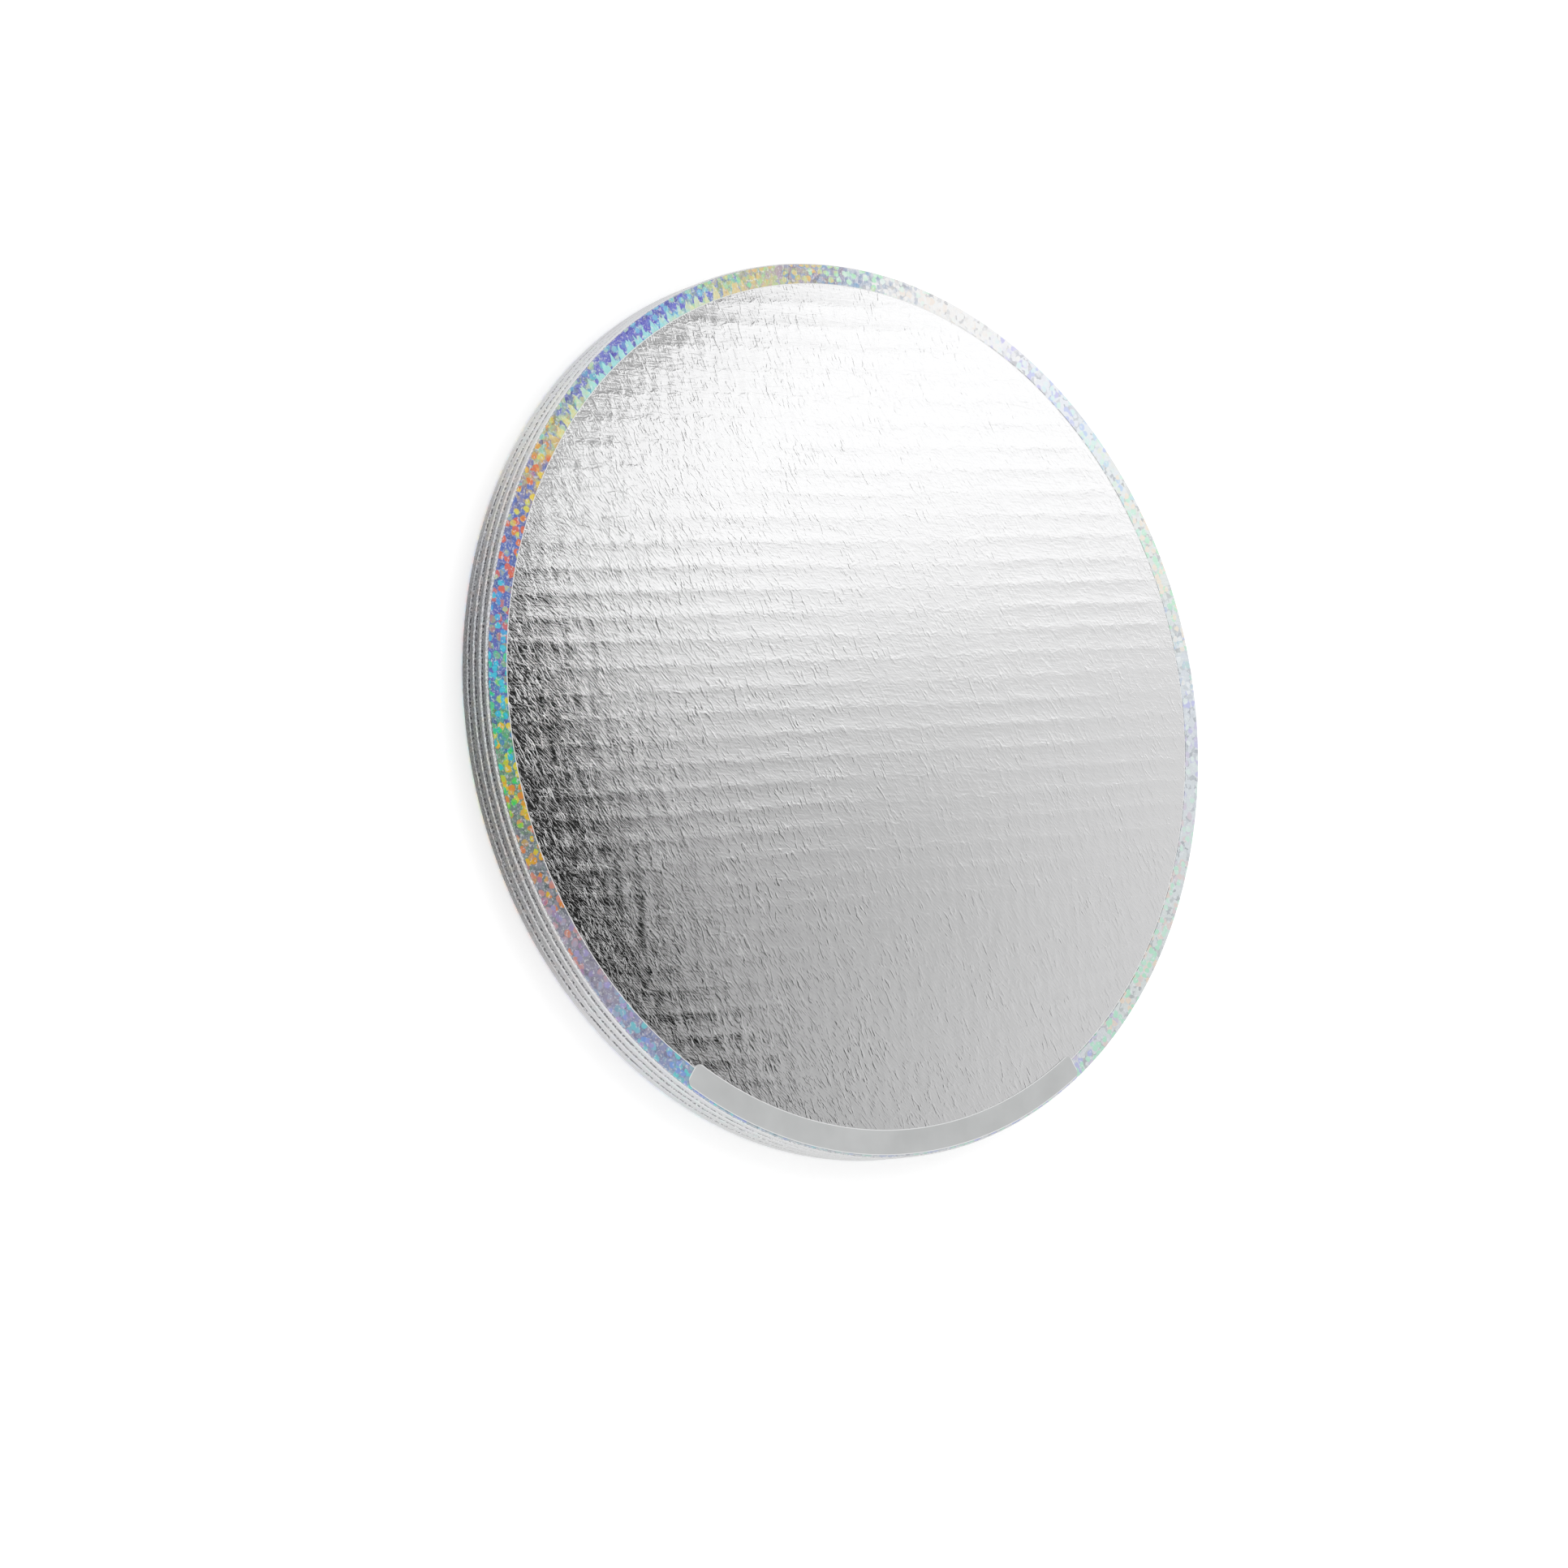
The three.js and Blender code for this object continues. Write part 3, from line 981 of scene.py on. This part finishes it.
# %% Room
AMBIENT = 0.75
DARK_SIDE = Vector((-0.97, 0.05, 0.24))
ROOM_SHADES = (
    (0.0, (1.0, 1.0, 1.0)), (0.50, (0.90, 0.90, 0.90)), (0.90, (0.48, 0.48, 0.49)),
    (1.0, (0.26, 0.26, 0.27)))
ROOM_BANDS = ((0.0, 0.70), (0.10, 0.95), (0.28, 0.78), (0.50, 0.98), (0.75, 0.80), (1.0, 0.92))


def background(tree, colour, strength):
    node = tree.nodes.new("ShaderNodeBackground")
    plug(tree, colour, node.inputs["Color"])
    node.inputs["Strength"].default_value = strength
    return node.outputs["Background"]


def room_colour(tree):
    """The pale bands, multiplied by the shade of the dark side."""
    direction = tree.nodes.new("ShaderNodeTexCoord").outputs["Generated"]
    aside = tree.nodes.new("ShaderNodeVectorMath")
    aside.operation = "DOT_PRODUCT"
    tree.links.new(direction, aside.inputs[0])
    aside.inputs[1].default_value = DARK_SIDE.normalized()
    bands = [(spot, (tone,) * 3) for spot, tone in ROOM_BANDS]
    banded = tree.nodes.new("ShaderNodeVectorMath")
    banded.operation = "MULTIPLY"
    tree.links.new(ramp(tree, aside.outputs["Value"], ROOM_SHADES), banded.inputs[0])
    tree.links.new(ramp(tree, parts_of(tree, direction)[2], bands), banded.inputs[1])
    return banded.outputs["Vector"]


def make_world():
    world = bpy.data.worlds.new("studio")
    world.use_nodes = True
    bpy.context.scene.world = world
    tree = world.node_tree
    tree.nodes.clear()
    output = tree.nodes.new("ShaderNodeOutputWorld")
    rays = tree.nodes.new("ShaderNodeLightPath").outputs
    room = background(tree, room_colour(tree), 1.0)
    by_mirror = mix_shaders(tree, rays["Is Glossy Ray"], background(tree, WHITE, AMBIENT), room)
    by_camera = mix_shaders(tree, rays["Is Camera Ray"], by_mirror, background(tree, WHITE, 1.0))
    tree.links.new(by_camera, output.inputs["Surface"])


make_world()

# %% [markdown]
# ## Glowing card
#
# A glowing card hangs over the far side of the board. It is no lamp, and only foil sees it.
# Its tones are painted, and its mirror image lays painted light and shade over the face: grey
# below, white above, and dark beyond a slanting edge on the left. Foil creases that tilt
# across that edge catch the bright side of it.

# %% Glowing card
CARD_HEIGHT = 0.5
CARD_CORNERS = ((0.10, -0.7), (1.2, 0.9))
CARD_LOW, CARD_HIGH = -0.15, 0.30
CARD_BRIGHTEST = 1.25
# Places up the card, each with its tone, and then with where the dark part ends.
CARD_TONES = (
    (-0.12, 0.55), (-0.05, 0.49), (0.005, 0.55), (0.057, 0.73), (0.092, 0.90), (0.13, 1.06),
    (0.16, 1.15), (0.25, 1.18), (0.30, 1.00))
CARD_EDGE = (
    (-0.13, 0.284), (-0.107, 0.264), (-0.087, 0.249), (-0.066, 0.243), (-0.031, 0.239),
    (0.004, 0.231), (0.057, 0.222), (0.092, 0.215), (0.110, 0.209), (0.145, 0.196),
    (0.18, 0.218), (0.215, 0.262), (0.24, 0.298), (0.30, 0.36))


def along_card(tree, place, stops, scale):
    """A value that follows (place, value) stops up the card."""
    reach = remap(tree, place, CARD_LOW, CARD_HIGH)
    width = CARD_HIGH - CARD_LOW
    shades = [((spot - CARD_LOW) / width, (value / scale,) * 3) for spot, value in stops]
    parts = tree.nodes.new("ShaderNodeSeparateColor")
    tree.links.new(ramp(tree, reach, shades), parts.inputs["Color"])
    return math_node(tree, "MULTIPLY", parts.outputs["Red"], scale)


def card_material():
    material = bpy.data.materials.new("glowing_card")
    material.use_nodes = True
    tree = material.node_tree
    tree.nodes.clear()
    output = tree.nodes.new("ShaderNodeOutputMaterial")
    glow = tree.nodes.new("ShaderNodeEmission")
    x, y, _ = parts_of(tree, object_space(tree))
    far_right = remap(tree, x, 0.36, 0.58, 0.0, 0.8)
    tone = mix_colour(tree, far_right, along_card(tree, y, CARD_TONES, CARD_BRIGHTEST),
                      remap(tree, y, 0.08, 0.17, 0.80, 1.16))
    past_edge = math_node(tree, "SUBTRACT", x, along_card(tree, y, CARD_EDGE, 1.0))
    lit = remap(tree, past_edge, -0.004, 0.006, 0.02, 0.86)
    lit = math_node(tree, "MAXIMUM", lit, remap(tree, x, 0.10, 0.13, 0.45, 0.0))
    lit = math_node(tree, "MAXIMUM", lit, remap(tree, y, 0.08, 0.15, 0.0, 0.32))
    lit = math_node(tree, "MULTIPLY", lit, remap(tree, past_edge, 0.0, 0.12, 1.0, 1.163))
    # The painted tones of the glowing card, which the foil mirrors as light and shade.
    plug(tree, mix_colour(tree, lit, (0, 0, 0, 1), tone), glow.inputs["Color"])
    tree.links.new(glow.outputs["Emission"], output.inputs["Surface"])
    return material


def make_glowing_card():
    deselect()
    bpy.ops.mesh.primitive_plane_add(size=1, location=(0, 0, 0))
    card = bpy.context.object
    card.name = "glowing_card"
    low, high = CARD_CORNERS
    for vertex in card.data.vertices:
        x = low[0] if vertex.co.x < 0 else high[0]
        y = low[1] if vertex.co.y < 0 else high[1]
        vertex.co = (x, y, CARD_HEIGHT)
    card.data.materials.append(card_material())
    card.visible_camera = False
    card.visible_diffuse = False
    card.visible_shadow = False
    card.visible_transmission = False


make_glowing_card()

# %% [markdown]
# ## Lamps
#
# Two weak square panels add a little shape to the light on the board.

# %% Lamps
PANEL_WIDTH = 0.8


def panel(name, place, power):
    """A square lamp aimed at the middle of the board."""
    data = bpy.data.lights.new(name, "AREA")
    data.shape = "RECTANGLE"
    data.size = PANEL_WIDTH
    data.size_y = PANEL_WIDTH
    data.energy = power
    lamp = bpy.data.objects.new(name, data)
    lamp.matrix_world = look_from(Vector(place), Vector((0, 0, 0)), 0.0)
    bpy.context.scene.collection.objects.link(lamp)


panel("main_panel", (0.5, 0.6, 1.2), 2.5)
panel("fill_panel", (-0.9, -0.6, 1.0), 1.0)
